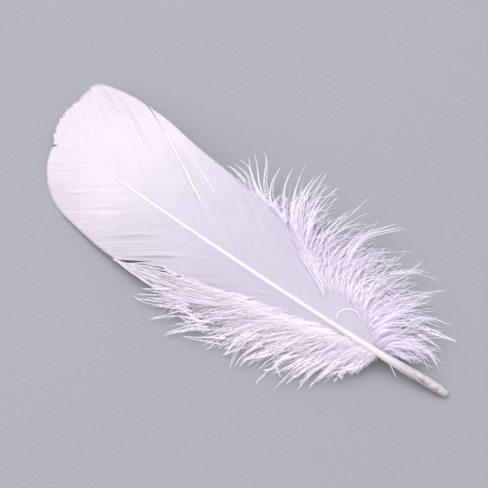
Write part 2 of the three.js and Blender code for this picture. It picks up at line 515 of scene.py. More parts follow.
# %% Edges of the vanes
# along the shaft, across from it, root, bulge
FAR_EDGE = curve_through([
    (27, 1.4, 24.4, 0.03), (28.5, 3, 25.4, 0.03), (31.5, 5.2, 27.2, 0.03), (35, 7, 29.2, 0.03),
    (40, 8.2, 31.8, 0.03), (47, 8.8, 35.8, 0.04),
    (54, 11.6, 38.4, 0.045), (62, 16, 42, 0.05), (76, 19.6, 50, 0.05), (90, 21.7, 60, 0.045),
    (105, 23.2, 71, 0.045),
    (121, 25.6, 81.5, 0.045), (126, 25.8, 84.8, 0.045), (136, 25.8, 92, 0.045),
    (145.5, 24.1, 99.5, 0.045), (149.5, 21.8, 114, 0.045), (150.1, 15, 130, 0.045),
    (151, 9.8, 136.2, 0.03), (150.6, 4.8, 139.4, 0), (149.6, 1.5, 141, -0.02),
    (148.4, -1, 141.9, -0.04), (147, -3.4, 142.6, -0.07)])
NEAR_EDGE = curve_through([
    (33, 2, 30, 0), (53, 8.1, 40.5, 0), (75, 11.6, 57, 0), (92, 15.2, 68.5, 0),
    (99, 17.6, 72, 0), (105.4, 20.5, 74.5, 0), (112, 20.9, 82, 0), (122, 20, 93.5, 0),
    (132, 18.6, 106, 0), (138, 16, 115.5, 0), (142, 12.7, 123.5, 0), (145, 8.6, 131, -0.02),
    (146.2, 5.4, 136, -0.06), (146.5, 4.4, 139.4, -0.08), (146.6, 3.8, 142, -0.08)])
print("widest places of the vanes:", FAR_EDGE[:, 1].max().round(1), NEAR_EDGE[:, 1].max().round(1))

# %% [markdown]
# Three kinds of wear make a vane look real. A split is a place where neighbouring barbs
# have come unhooked and drawn apart towards the edge. A crease is a shallow ridge or valley
# that runs out along the barbs. And the very tip is ragged, where the ends have worn.

# %% Splits and creases
# root; gap at the edge in mm; where it starts, as a share of the barb; width in mm of roots
FAR_SPLITS = [(43.5, 0.7, 0.7, 0.5), (47.5, 0.5, 0.8, 0.8), (53.5, 0.6, 0.8, 0.8),
              (60.5, 0.5, 0.86, 0.8), (67.0, 0.4, 0.93, 0.6), (87.2, 0.9, 0.7, 0.6),
              (136.4, 0.9, 0.86, 0.3), (142.8, 1.3, 0.45, 0.5)]
NEAR_SPLITS = [(41.0, 0.5, 0.6, 0.8), (47.0, 0.5, 0.65, 0.8), (54.0, 0.5, 0.7, 0.8),
               (61.0, 0.3, 0.75, 0.8), (67.0, 0.2, 0.75, 0.8), (73.6, 1.5, 0.66, 0.7),
               (89.0, 0.15, 0.9, 0.5), (103.0, 0.15, 0.92, 0.5), (142.4, 0.9, 0.5, 0.5)]
# root; height in mm; from and to, as shares of the barb; width in mm of roots
FAR_CREASES = [(84.6, 0.35, 0.1, 0.9, 0.8), (90.5, 0.15, 0.3, 0.8, 0.8),
               (97.4, -0.3, 0.3, 1.1, 0.4), (98.6, 0.25, 0.3, 1.1, 0.6),
               (119.7, -0.15, 0.3, 0.95, 0.6),
               (130.7, 0.12, 0.3, 1, 0.8), (76.0, 0.2, 0.4, 1, 0.8), (62.0, 0.25, 0.4, 1, 0.7),
               (56.0, 0.2, 0.4, 0.9, 0.7)]
NEAR_CREASES = [(77.6, 0.5, 0.25, 0.95, 1.1), (90.0, 0.2, 0.2, 0.9, 1.0),
                (104.0, -0.15, 0.2, 0.8, 0.8), (115.0, 0.12, 0.3, 0.9, 0.8)]
print("splits:", len(FAR_SPLITS), len(NEAR_SPLITS), "creases:", len(FAR_CREASES), len(NEAR_CREASES))

# %% [markdown]
# Now the barbs are drawn flat. They are told off at an even pitch along the shaft, or along
# the edge where their ends would stand too far apart. Each one runs from its root to its end
# with its own bulge, and a split pushes its neighbours apart. Chance moves every barb a
# little and makes some a trifle longer or shorter, most where the web is worn.

# %% Centre lines of the barbs
BARB_PITCH = 0.34      # mm between roots along the shaft; a real goose has about 0.3 to 0.5
PITCH_CHANCE = 0.05    # a barb stands this far out of line at most, in mm
RIM_SHARE = 0.7        # where ends spread wider than roots / RIM_SHARE, they set the pitch
BARB_STEPS = 26
SUNK = 0.75            # roots start at this share of the shaft's radius, inside it
WEAR, TIP_WEAR = 0.07, 0.22  # chance in a barb's length, in mm, and what the tip adds to it


def vane_barbs(side, edge, splits, fray, seed):
    """Flat centre lines (along, across), roots and shares of length of one vane's barbs."""
    rng = np.random.default_rng(seed)
    moved = np.diff(edge, axis=0)
    spread = np.maximum(moved[:, 2], RIM_SHARE * np.hypot(moved[:, 0], moved[:, 1]))
    measure = np.concatenate([[0], np.cumsum(spread)])
    picks = np.arange(0, measure[-1], BARB_PITCH)
    picks = picks + rng.uniform(-PITCH_CHANCE, PITCH_CHANCE, len(picks))
    rim_along, rim_across, roots, bulge = (np.interp(picks, measure, column) for column in edge.T)
    tips = np.stack([rim_along, rim_across], -1)
    start = np.stack([roots, SUNK * shaft_radius(roots) + side * shaft_drift(roots)], -1)
    span = tips - start
    size = np.linalg.norm(span, axis=1)
    outward = np.stack([-span[:, 1], span[:, 0]], -1) / size[:, None]
    reach = np.linspace(0, 1, BARB_STEPS)[None, :]
    worn = WEAR + TIP_WEAR * rise(rim_along, 146, 149.4) + fray * (1 - rise(rim_along, 88, 104))
    longer = 1 + worn * (rng.normal(size=len(roots)) + waves(picks * 2.1, seed)) / size
    flat = start[:, None] + span[:, None] * reach[..., None] * longer[:, None, None]
    sideways = 4 * (reach - reach ** 2) * (bulge * size)[:, None]
    for root, gap, onset, width in splits:
        away = roots - root
        push = -np.sign(away) * gap / 2 * np.exp(-np.abs(away) / width)
        sideways = sideways + push[:, None] * rise(reach, onset, 1.0)
    flat = flat + outward[:, None] * sideways[..., None]
    return flat, roots, picks, np.broadcast_to(reach, flat.shape[:2])


print("barbs of the far vane:", len(vane_barbs(1, FAR_EDGE, FAR_SPLITS, 0, 1)[1]))

# %% [markdown]
# Last, the flat barbs are lifted into a web. A web isn't level: it swells and sinks slowly
# from barb to barb, with a finer ripple over that. Each barb is a little wider than the
# space it has, so that neighbours overlap like tiles and close the web, and leans a little
# its own way, so that each catches the light differently. That gives the silky streaks.

# %% Grow a vane
WEB_LIFT = 0.12        # barbs lie this far above the bent sheet, in mm
SWELL, RIPPLE, JITTER = 0.06, 0.012, 0.007  # mm: slow waves, fine waves, chance
SHAFT_HUG = 0.1        # share of the shaft's radius that the roots climb
OVERLAP = 0.62         # half the width of a barb, as a share of its space; 0.5 would just meet
THINNEST, WIDEST = 0.045 * MM, 0.24 * MM    # limits of that half width
BARB_RIDGE = 0.28      # height of the rib on a barb, as a share of its half width
LEAN, LEAN_CHANCE = 0.02, 0.015             # sideways tilt of the barbs, as slopes


def vane_mesh(side, edge, splits, creases, fray, seed):
    """Corners, triangles and notes of one vane."""
    flat, roots, picks, reach = vane_barbs(side, edge, splits, fray, seed)
    rng = np.random.default_rng(seed + 50)
    lift = WEB_LIFT + SWELL * waves(picks * 0.33, seed + 1)[:, None] * rise(reach, 0.15, 0.8)
    lift = lift + RIPPLE * waves(picks * 2.4, seed + 2)[:, None] * rise(reach, 0.05, 0.5)
    lift = lift + JITTER * rng.normal(size=(len(roots), 1))
    lift = lift + SHAFT_HUG * shaft_radius(roots)[:, None] * (1 - rise(reach, 0.0, 0.12))
    for root, height, begin, end, width in creases:
        ridge = height * np.exp(-((roots - root) / width) ** 2)[:, None]
        middle = (begin + end) / 2
        lift = lift + ridge * rise(reach, begin, middle) * (1 - rise(reach, middle, end))

    paths = on_feather(flat[..., 0], side * flat[..., 1], lift)
    forward = unit(np.gradient(paths, axis=1))
    up = unit(np.cross(np.cross(forward, np.array([0, 0, 1.0])), forward))
    across = unit(np.cross(forward, up))
    apart = np.abs(np.sum(np.gradient(paths, axis=0) * across, axis=-1))
    half_width = np.clip(apart * OVERLAP, THINNEST, WIDEST)
    half_width *= 1 - 0.75 * rise(reach, 0.96, 1.0)
    tilt = LEAN * waves(picks * 1.1, seed + 3) + LEAN_CHANCE * rng.normal(size=len(roots))
    up = unit(up + across * tilt[:, None, None])
    points, faces = strips(paths, half_width, half_width * BARB_RIDGE, up)
    notes = {"barb": per_corner(np.broadcast_to(picks[:, None], reach.shape)),
             "reach": per_corner(reach), "along": per_corner(flat[..., 0])}
    return points, faces, notes


print(f"barbs are up to {2 * WIDEST / MM} mm wide")

# %% [markdown]
# The web is keratin too, but so thin and so finely divided that it looks like matt silk. It
# scatters light and lets some of it through, so the shader is a Principled mixed with a
# Translucent. The colour follows the barbs: it is a noise of (barb, reach), so its streaks
# run out along the barbs on both sides of the shaft, whatever way they point. They are about
# 0.45 mm wide, a little over one barb, and slow clouds of about 22 mm lie over them. Towards
# the foot the web thins, and `foot` darkens and cools its colour there. This is painted shade,
# for the dark seen through the thin web and the weaker light at its foot.

# %% Silky web keratin
def web_keratin(name, light, dark, foot, through):
    """Fine barbs as matt silk. `through` is the share of light that passes through them."""
    material, output = new_material(name)
    tree = material.node_tree
    barb = add(tree, "ShaderNodeAttribute", {"attribute_name": "barb"}).outputs["Fac"]
    reach = add(tree, "ShaderNodeAttribute", {"attribute_name": "reach"}).outputs["Fac"]
    on_barb = add(tree, "ShaderNodeCombineXYZ", X=barb, Y=reach)
    streaks = add(tree, "ShaderNodeTexNoise", Vector=on_barb.outputs[0], Scale=2.2, Detail=4.0,
                  Roughness=0.65)
    place = add(tree, "ShaderNodeTexCoord").outputs["Object"]
    clouds = add(tree, "ShaderNodeTexNoise", Vector=place, Scale=45.0, Detail=2.0)
    both = add(tree, "ShaderNodeMath", {"operation": "MULTIPLY_ADD"}, _0=clouds.outputs["Fac"],
               _1=0.6, _2=streaks.outputs["Fac"])
    ramp = add(tree, "ShaderNodeValToRGB", Fac=both.outputs[0])
    ramp.color_ramp.elements[0].position = 0.55
    ramp.color_ramp.elements[0].color = linear(dark)
    ramp.color_ramp.elements[1].position = 1.0
    ramp.color_ramp.elements[1].color = linear(light)
    along = add(tree, "ShaderNodeAttribute", {"attribute_name": "along"}).outputs["Fac"]
    # painted shade: the colour darkens and cools from 122 mm down to 72 mm along the shaft
    foot_shade_fade = add(tree, "ShaderNodeMapRange", Value=along, From_Min=72.0, From_Max=122.0)
    thin = add(tree, "ShaderNodeMix", {"data_type": "RGBA"}, Factor=foot_shade_fade.outputs[0],
               _6=linear(foot), _7=linear("ffffff"))
    tint = add(tree, "ShaderNodeMix", {"data_type": "RGBA", "blend_type": "MULTIPLY"},
               Factor=1.0, _6=ramp.outputs["Color"], _7=thin.outputs[2])
    silk = add(tree, "ShaderNodeBsdfPrincipled", Base_Color=tint.outputs[2],
               Roughness=0.55, IOR=1.54, Sheen_Weight=0.15)
    glow = add(tree, "ShaderNodeBsdfTranslucent", Color=tint.outputs[2])
    mix = add(tree, "ShaderNodeMixShader", Fac=through)
    tree.links.new(silk.outputs["BSDF"], mix.inputs[1])
    tree.links.new(glow.outputs["BSDF"], mix.inputs[2])
    tree.links.new(mix.outputs[0], output.inputs["Surface"])
    return material


# the faint lilac tint of these colours is painted light: it is the tint of the light, on white
# keratin
web = web_keratin("web_keratin", "e3dae2", "d6cdd7", "e6e6ef", 0.25)
# piece, node, side, edge, splits, creases, wear of the lower edge in mm, seed
VANES = [("far_web", "far_vane", 1, FAR_EDGE, FAR_SPLITS, FAR_CREASES, 0.3, 11),
         ("near_web", "near_vane", -1, NEAR_EDGE, NEAR_SPLITS, NEAR_CREASES, 1.2, 23)]
for name, node, side, *rest in VANES:
    vane = make_piece(name, *vane_mesh(side, *rest), web, "vane_barbs", smooth=False)
    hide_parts(node)


# %% [markdown]
# ## The down
# A downy barb has the same thin stem, but its barbules are long, soft and unhooked, so it
# floats as a plume. Each plume here is a stem and about a hundred slivers, all real mesh: a
# hair system would be quicker to comb, but hair isn't mesh and is lost in an export. The
# plumes start along the shaft's foot and the vane's lower edge. A table of a few rows gives
# how long they are and how they turn from place to place; chance does the rest.

# %% Lengths and headings of the plumes
# Root in mm from the quill end; length in mm; heading at the root and at the tip, in
# degrees; how closely the plumes stand. Heading 0 points to the feather's tip, 90 straight
# out, 180 back to the quill.
FAR_PLUMES = np.array([
    (20, 12, 148, 174, 0.35), (22, 18, 138, 170, 0.7), (24, 21, 124, 163, 1.4),
    (27, 24, 104, 155, 2.4), (30, 26, 86, 149, 2.4), (33, 28, 66, 143, 1.9),
    (38, 30, 48, 140, 1.4), (44, 31, 42, 133, 1.2), (50, 30, 39, 122, 1.1),
    (56, 27, 36, 111, 1.0), (62, 24, 34, 101, 0.8), (67, 18, 32, 95, 0.5),
    (72, 13, 32, 90, 0.3), (77, 9, 32, 86, 0.15), (82, 5, 31, 80, 0.05)])
NEAR_PLUMES = np.array([
    (24, 8, 62, 86, 1.4), (27, 18, 57, 80, 2.2), (30, 24.5, 51, 76, 2.2), (34, 28, 45, 74, 1.8),
    (38, 29.5, 40, 72, 1.5), (44, 29, 37, 68, 1.3), (54, 28, 35, 60, 1.1), (62, 26, 34, 50, 1.0),
    (70, 24, 34, 38, 0.9), (78, 19, 33, 22, 0.6), (84, 12, 31, 12, 0.25), (88, 7, 28, 8, 0.05)])
print("the table's longest plumes:", FAR_PLUMES[:, 1].max(), NEAR_PLUMES[:, 1].max(), "mm")

# %% [markdown]
# A plume is drawn in three steps: its root is picked by how closely the table says plumes
# stand, it bends from its first heading to its last, and then it gets a height. Plumes cling
# together in locks that share a turn, a length and a height. Some are free: they are longer,
# stand apart and stray more. A `habit` holds what differs from layer to layer:
#
# - lock: the fewest plumes of a lock, and one above the most; cling: how much they draw
#   together
# - free: the share of free plumes; longest, wild and curl: how much longer they may be, how
#   far they stray in degrees and how much more they bend
# - sparse: higher makes more plumes short, at the quill end and further up
# - inside: how far in on the web plumes may root, in mm; clear and fade: from where to where
#   along the shaft that begins, and ends
# - over: height of the roots above the sheet in mm (below 0, the layer stays under the web);
#   tips: least and greatest height of the tips; loft: how far the middle swells up
# - turn: above 1, plumes bend late; bend: least and greatest share of the bend they make

# %% Roots, headings and heights of plumes
PLUME_STEPS = 15
LEAST_HEIGHT = 0.15    # no stem comes closer to the table, in mm
SWAY, STRAY, LOCK_TURN = 14, 10, 11  # degrees: waves in a plume, its chance and its lock's


def plume_roots(rows, count, habit, rng):
    """Places of the roots along the shaft, and the number of each plume's lock."""
    places = np.linspace(rows[0, 0], rows[-1, 0], 400)
    crowd = np.cumsum(np.interp(places, rows[:, 0], rows[:, 4]))
    roots = np.sort(np.interp(rng.uniform(crowd[0], crowd[-1], count), crowd, places))
    lock = np.repeat(np.arange(count), rng.integers(*habit["lock"], count))[:count]
    return roots, lock


def plume_headings(first, last, lock_turn, free, habit, rng):
    """Heading at every step of every plume, in degrees: its bend, its chance and its waves."""
    count = len(first)
    t = np.linspace(0, 1, PLUME_STEPS)[None, :]
    wave = rng.uniform(3, 8, (count, 1)) * t + rng.uniform(0, 6.28, (count, 1))
    sway = SWAY * rng.normal(0, 1, (count, 1)) * np.sin(wave) * rise(t, 0, 0.5)
    chance = rng.normal(0, np.where(free, habit["wild"], STRAY), count)
    stray = (LOCK_TURN * lock_turn + chance)[:, None]
    bend = (last - first)[:, None] * rng.uniform(*habit["bend"], (count, 1))
    bend = bend * np.where(free, habit["curl"], 1)[:, None]
    heading = first[:, None] + bend * t ** habit["turn"]
    return heading + stray * (0.35 + t) + sway


def plume_heights(sheet, along, across, edge, layer, habit):
    """Height at every step, in metres: up from the root, over the loft, down to the tip."""
    t = np.linspace(0, 1, PLUME_STEPS)[None, :]
    low, high = habit["tips"]
    tip = (low + (high - low) * layer ** 1.4) * MM
    foot = sheet[:, :1, 2] + habit["over"] * MM
    height = foot * (1 - t) ** 1.3 + tip * (1 - (1 - t) ** 1.3)
    height = height + habit["loft"] * MM * layer * np.sin(np.pi * t ** 0.8)
    if habit["over"] > 0:
        # a plume that roots on top of the web stays above it until it is past its edge
        outside = rise(across - np.interp(along, edge[:, 0], edge[:, 1]), -0.5, 3.5)
        emerge = (habit["over"] + 0.6 * layer + 0.4) * rise(t, 0, 0.15) - 0.4
        above = np.maximum(height * rise(t, 0, 0.15), sheet[..., 2] + emerge * MM)
        height = height * outside + above * (1 - outside)
    return np.maximum(height, LEAST_HEIGHT * MM)


print(f"no stem comes closer to the table than {LEAST_HEIGHT} mm")

# %% [markdown]
# With those three, a whole layer of plumes is drawn at once. Last, every lock is gathered:
# its plumes are drawn towards the longest one, more and more towards their tips, as wisps of
# fluff do that have been damp.

# %% Paths of a layer of plumes
SHORTEST, LENGTH_RANGE = 0.3, 0.68  # a plume's length, as shares of the table's
ROOT_IN_SHAFT = 0.7    # plumes of the bare shaft root at this share of its radius
DEEPEST_ROOT = 0.7     # others root at most this far in from the web's edge, a share of its width
FREE_CLING = 0.1       # free plumes cling this little


def plume_paths(side, rows, edge, count, habit, seed):
    """Centre lines of the down on one side: (plumes, steps, 3) in metres, and root places."""
    rng = np.random.default_rng(seed)
    roots, lock = plume_roots(rows, count, habit, rng)
    lock_turn, lock_reach, lock_layer = (rng.uniform(-1, 1, count)[lock] for _ in range(3))
    free = rng.random(count) < habit["free"]

    rim = np.interp(roots, edge[:, 0], edge[:, 1])
    inward = np.minimum(rim * DEEPEST_ROOT, habit["inside"]) * rng.uniform(0, 1, count)
    inward = inward * rise(roots, *habit["clear"]) * (1 - rise(roots, *habit["fade"]))
    start = np.where(roots < edge[0, 0], ROOT_IN_SHAFT * shaft_radius(roots), rim - inward)
    full, first, last = (np.interp(roots, rows[:, 0], rows[:, k]) for k in (1, 2, 3))
    few, fewer = habit["sparse"]
    sparse = few + (fewer - few) * rise(roots, 48, 70)
    added = np.where(free, habit["longest"], LENGTH_RANGE)
    own = SHORTEST + added * rng.uniform(0, 1, count) ** sparse
    length = full * own * (0.95 + 0.15 * lock_reach) + inward

    angle = np.radians(plume_headings(first, last, lock_turn, free, habit, rng))
    step = length[:, None] / (PLUME_STEPS - 1)
    along = roots[:, None] + np.cumsum(np.cos(angle) * step, axis=1) - np.cos(angle) * step
    across = start[:, None] + np.cumsum(np.sin(angle) * step, axis=1) - np.sin(angle) * step
    sheet = on_feather(along, side * across, 0.0)
    layer = np.clip(0.5 + 0.35 * lock_layer + rng.uniform(-0.3, 0.3, count), 0, 1)[:, None]
    height = plume_heights(sheet, along, across, edge, layer, habit)
    paths = np.stack([sheet[..., 0], sheet[..., 1], height], -1)
    cling = np.where(free, FREE_CLING, habit["cling"])
    return gather_locks(paths, length, lock, cling, rng), roots


def gather_locks(paths, length, lock, cling, rng):
    """Draws every plume towards the longest one of its lock, most at the tips."""
    t = np.linspace(0, 1, paths.shape[1])[None, :, None]
    pull = cling * rng.uniform(0.15, 1.0, len(paths))
    for number in np.unique(lock):
        bunch = np.flatnonzero(lock == number)
        leader = paths[bunch[np.argmax(length[bunch])]]
        share = (length[bunch] / length[bunch].max())[:, None, None]
        target = leader[0] + (leader - leader[0]) * (0.3 + 0.7 * share)
        paths[bunch] += (target - paths[bunch]) * pull[bunch, None, None] * rise(t, 0.1, 0.9)
    return paths


print("points on a plume:", PLUME_STEPS, "shortest share:", SHORTEST)

# %% [markdown]
# Where the down begins and where it ends its barbs stand apart, and some reach well past the
# rest. Chance wouldn't put them right, so they are drawn one by one. Each line of the tables
# is one of them: four places (along, across) in mm, from its root to its tip.

# %% Plumes drawn one by one
FAR_SINGLES = [
    [(86.8, 22.7), (89.5, 23.2), (92.4, 23.5), (94.6, 23.2)],
    [(79.2, 20.1), (83.6, 21), (87.9, 24.2), (93.2, 25.1)],
    [(80.1, 20.3), (84.6, 22.9), (89.4, 26.8), (93.4, 27.4)],
    [(76.8, 18.9), (83.5, 22.9), (87.6, 25.9), (91.4, 29.9)],
    [(75.7, 18.4), (82.5, 23.6), (87.4, 28.8), (90.9, 32.3)],
    [(74.8, 19.1), (81.2, 25), (85.7, 31.6), (88.5, 34.2)],
    [(72.9, 19.6), (77.3, 22.7), (80.1, 27.1), (81.5, 32.9)],
    [(69.9, 18.5), (74, 23.9), (76.9, 29.6), (78.2, 34.8)],
    [(67.1, 18.8), (70.2, 23.2), (72.7, 28.3), (74.3, 33.2)],
    [(65, 17.9), (68.9, 25.6), (70.6, 31.8), (71.2, 37.4)],
    [(63.7, 17.6), (68.1, 26.1), (69.9, 32.9), (70.1, 39.1)],
    [(62.2, 17.5), (66.5, 26.5), (68.2, 33.7), (69.1, 40.8)],
    [(61, 17.5), (64.4, 25), (65.7, 31.1), (66.6, 36.5)],
    [(59.9, 17.5), (63.7, 25.6), (64, 32), (63.2, 38)],
    [(46.9, 18), (48.4, 23.4), (47.2, 29.9), (41.7, 38.8)],
    [(45.6, 18.2), (46.8, 23.8), (45.4, 29.9), (38.6, 38.5)],
    [(46.2, 17), (47.4, 23.6), (46.3, 29.9), (39.6, 38.7)],
    [(40.3, 15.6), (42.5, 21.1), (42.3, 25.2), (39.5, 27.9)],
    [(35.4, 11.2), (36, 18.2), (32.2, 25), (26.3, 28.6)],
    [(34, 10.3), (33.3, 17.3), (29.8, 26.2), (28.5, 32.1)],
    [(31.3, 8.3), (28.3, 16.2), (21.1, 24.2), (17.8, 27.9)],
    [(24.7, 3.5), (22, 9), (18, 16.4), (10.3, 19.1)],
    [(23.2, 2.7), (19.4, 6), (12.8, 8.2), (5.6, 4.9)],
    [(22.7, 3.6), (19.9, 3.1), (17.1, 2.5), (14.5, 2.1)],
    [(22.5, 4.9), (19.4, 3.8), (16.2, 3.2), (12.4, 4.7)],
    [(19.7, 7.1), (16.5, 6.9), (13, 6.2), (9.5, 5.6)],
    [(18, 8.3), (14.1, 8.6), (10.6, 7.9), (6.9, 5.8)],
    [(17.4, 10.7), (14.1, 10.8), (11.7, 10.9), (9.4, 10.9)],
    [(16.2, 13.1), (12.7, 14.1), (9.6, 14.7), (6.4, 15.6)]]
NEAR_SINGLES = [
    [(84.5, -18.8), (87.6, -20.7), (90.7, -22.2), (93.6, -23.5)],
    [(81, -18.3), (86.6, -21.1), (90.6, -23.5), (94.1, -25.7)],
    [(79, -18.5), (84.4, -21.4), (88.5, -23.7), (91.2, -25.3)],
    [(78, -20), (83.9, -22.2), (88.1, -24.3), (93.6, -26.9)],
    [(78.2, -20.8), (81.7, -22.6), (84.4, -24), (87, -25.2)],
    [(73.6, -21.4), (77.6, -21.4), (81, -21.7), (82.3, -24.9)],
    [(75, -21.6), (79.7, -22.7), (83.1, -26), (86.2, -29.2)],
    [(71.7, -20.9), (77.6, -23.1), (81.5, -25.5), (86.6, -29.8)],
    [(69.9, -20.8), (73.4, -22.5), (76.4, -24.7), (78.9, -26.5)],
    [(71.2, -21.6), (74.8, -24.4), (77.4, -27.2), (80.1, -30.4)],
    [(69.6, -21.3), (72.9, -23.9), (76.5, -27.3), (80, -31.1)],
    [(63.6, -22), (68.6, -24.8), (71.4, -26.5), (75.1, -28.3)],
    [(58.5, -15.9), (60.3, -19.7), (60.7, -22.8), (60.9, -26.2)],
    [(56, -15.4), (57.8, -19.5), (58.3, -23.1), (57.3, -29)],
    [(53.9, -16.4), (55.6, -20.2), (56.6, -24), (56.6, -27.2)],
    [(50.6, -17.1), (52.9, -20.5), (54.9, -23.3), (55.3, -26.4)],
    [(44.8, -15.1), (46, -18.5), (46.8, -21.5), (49, -23.4)],
    [(43.1, -14.3), (45.6, -17.9), (46.6, -19.7), (43, -22.3)],
    [(39.9, -14.4), (42.2, -17.8), (44, -20.4), (45.9, -22.8)],
    [(38.8, -12.3), (41, -17), (42.1, -21.6), (42.9, -25.8)],
    [(37, -11.8), (38.8, -16), (39.9, -19.6), (40.9, -22.9)],
    [(34.1, -9.9), (35.9, -15.1), (36.8, -18.9), (37, -22.6)],
    [(32, -7.8), (32.8, -11.3), (32.9, -14.3), (33.6, -17.5)],
    [(28.2, -8.1), (29.3, -10.8), (29.8, -12.1), (27.7, -13.1)],
    [(26.3, -4.7), (28, -8.5), (31.3, -11.5), (34.2, -14.9)],
    [(25.2, -4.3), (26.2, -8), (29.6, -11.4), (32.2, -15.3)]]
ROOT_SPREAD = 0.7      # how far apart the plumes of one line root, in mm
SHORTENING = 0.12      # each further plume of a line may be this much shorter, as a share


def drawn_plumes(lines, copies, seed):
    """A few plumes round each drawn line, which draw together at its tip."""
    rng = np.random.default_rng(seed)
    paths = []
    for places in lines:
        line = curve_through(places, steps=20)
        gone = np.concatenate([[0], np.cumsum(np.linalg.norm(np.diff(line, axis=0), axis=1))])
        for copy in range(copies):
            share = np.linspace(0, 1 - SHORTENING * copy * rng.random(), PLUME_STEPS)
            along, across = (np.interp(share, gone / gone[-1], line[:, k]) for k in (0, 1))
            apart = rng.normal(0, ROOT_SPREAD, 2)[:, None] * (1 - share)
            lift = -0.3 + 1.9 * share ** 0.7 + 0.3 * rng.normal() * share
            paths.append(on_feather(along + apart[0], across + apart[1], lift))
    paths = np.array(paths)
    paths[..., 2] = np.maximum(paths[..., 2], LEAST_HEIGHT * MM)
    return paths, np.repeat([line[0][0] for line in lines], copies)


print("drawn lines:", len(FAR_SINGLES), "far and", len(NEAR_SINGLES), "near")

# %% [markdown]
# A line isn't a plume yet. Each gets a thin tapering stem and barbules to both sides of it,
# longest and densest near the root, which lean outward at a steep angle and point more and
# more along the stem towards its tip. A barbule is the smallest closed solid there is, a
# spike of four triangles, because there are about 170,000 of them.

# %% Stems and barbules
FLATNESS = 0.45        # thickness of a sliver as a share of half its width
FINE, BROAD = 0.08, 0.14  # widths in mm; real barbules are 0.01 to 0.02 mm and wouldn't show
STEM, STEM_TAPER = 0.06, 0.015  # half the width of a stem at its root, and what its tip loses
CLOSING = 30           # degrees that barbules turn in towards the tip of the stem
DISORDER = 12          # chance in that angle
ROW_SPREAD = 0.35      # radians that barbules stand out of the plume's plane
CLEAR_OF_TABLE = 0.05  # mm below which no tip of a barbule comes


def slivers(start, direction, side, up, width):
    """Slim closed spikes, four triangles each, from start to start + direction."""
    half = width[:, None] / 2
    points = np.stack([start - side * half, start + side * half,
                       start + up * half * FLATNESS, start + direction], axis=1).reshape(-1, 3)
    base = np.arange(len(start))[:, None] * 4
    faces = np.array([(0, 3, 1), (1, 3, 2), (2, 3, 0), (0, 1, 2)])
    return points, (base[:, None] + faces[None]).reshape(-1, 3)


def barbules(paths, per_plume, longest, spread, width, rng):
    """Slivers to both sides of every stem, and how far out along it each of them grows."""
    count, steps, _ = paths.shape
    s = 0.03 + 0.95 * rng.uniform(0, 1, (count, per_plume)) ** 1.1
    place = s * (steps - 1)
    low = np.minimum(place.astype(int), steps - 2)
    part = (place - low)[..., None]
    row = np.arange(count)[:, None]
    origin = paths[row, low] * (1 - part) + paths[row, low + 1] * part
    forward = unit(paths[row, low + 1] - paths[row, low])
    side = unit(np.cross(forward, np.array([0, 0, 1.0])))
    up = np.cross(side, forward)
    spin = np.where(rng.random(s.shape) < 0.5, 0, np.pi) + rng.normal(0, ROW_SPREAD, s.shape)
    out = side * np.cos(spin)[..., None] + up * np.sin(spin)[..., None]
    splay = np.radians(spread - CLOSING * s ** 0.6 + rng.normal(0, DISORDER, s.shape))[..., None]
    length = longest * (0.2 + 0.8 * (1 - s) ** 0.75) * rng.uniform(0.4, 1.3, s.shape) * MM
    direction = (forward * np.cos(splay) + out * np.sin(splay)) * length[..., None]
    direction[..., 2] -= np.minimum(0.0, (origin + direction)[..., 2] - CLEAR_OF_TABLE * MM)
    flat_side = unit(np.cross(direction, np.array([0, 0, 1.0])))
    parts = [a.reshape(-1, 3) for a in (origin, direction, flat_side,
                                        unit(np.cross(flat_side, direction)))]
    points, faces = slivers(*parts, np.full(s.size, width * MM))
    return points, faces, s


def down_mesh(paths, roots, per_plume, longest, spread, width, seed):
    """Corners, triangles and notes of a bunch of plumes."""
    rng = np.random.default_rng(seed)
    count, steps, _ = paths.shape
    reach = np.broadcast_to(np.linspace(0, 1, steps)[None, :], (count, steps))
    stem = (STEM - STEM_TAPER * reach) * (1 - 0.6 * rise(reach, 0.95, 1.0)) * MM
    sky = np.broadcast_to(np.array([0, 0, 1.0]), paths.shape)
    points, faces = strips(paths, stem, stem * FLATNESS, sky)
    more, more_faces, s = barbules(paths, per_plume, longest, spread, width, rng)

    on_stems = per_corner(np.broadcast_to(roots[:, None], reach.shape))
    on_barbules = np.repeat(np.broadcast_to(roots[:, None], s.shape), 4)
    notes = {"barb": np.concatenate([on_stems, on_barbules]),
             "reach": np.concatenate([per_corner(reach), np.repeat(s, 4)])}
    notes["along"] = 0 * notes["barb"]
    return np.vstack([points, more]), np.vstack([faces, more_faces + len(points)]), notes


print(f"barbules are {FINE} or {BROAD} mm wide")

# %% [markdown]
# Down is the same keratin as the web, only finer still, so more light passes through it and
# it looks whiter: a matt, airy white with no streaks to speak of. Its colours are painted
# whiter than the web's, painted light that lifts the shade among the plumes. The near side's
# are painted a little whiter still, painted light for the shade in its thick, low mat.

# %% Down keratin
# the faint lilac tint of these colours is painted light: it is the tint of the light, on white
# keratin
far_fluff = web_keratin("far_down_keratin", "fdf7ff", "f0e7f6", "ffffff", 0.35)
# painted light: the near down's colours are a little whiter than the far down's
lit_near_fluff = web_keratin("near_down_lit_keratin", "fffaff", "f8eefa", "ffffff", 0.35)
FLUFF = {"far_down": far_fluff, "near_down": lit_near_fluff}
print("down materials:", [fluff.name for fluff in FLUFF.values()])

# %% [markdown]
# The down is built in layers. The lowest grows under the edge of the vane and lies on the
# table, and the upper ones start on top of the web and stand up from it, so the web seems to
# dissolve into fluff, as it does on a real feather. The near side's lowest layer has broader
# barbules, which fill its mat where the feather presses it on the table.

# %% Grow the down
FAR_SIDE = (1, FAR_PLUMES, FAR_EDGE, "far_down")
NEAR_SIDE = (-1, NEAR_PLUMES, NEAR_EDGE, "near_down")
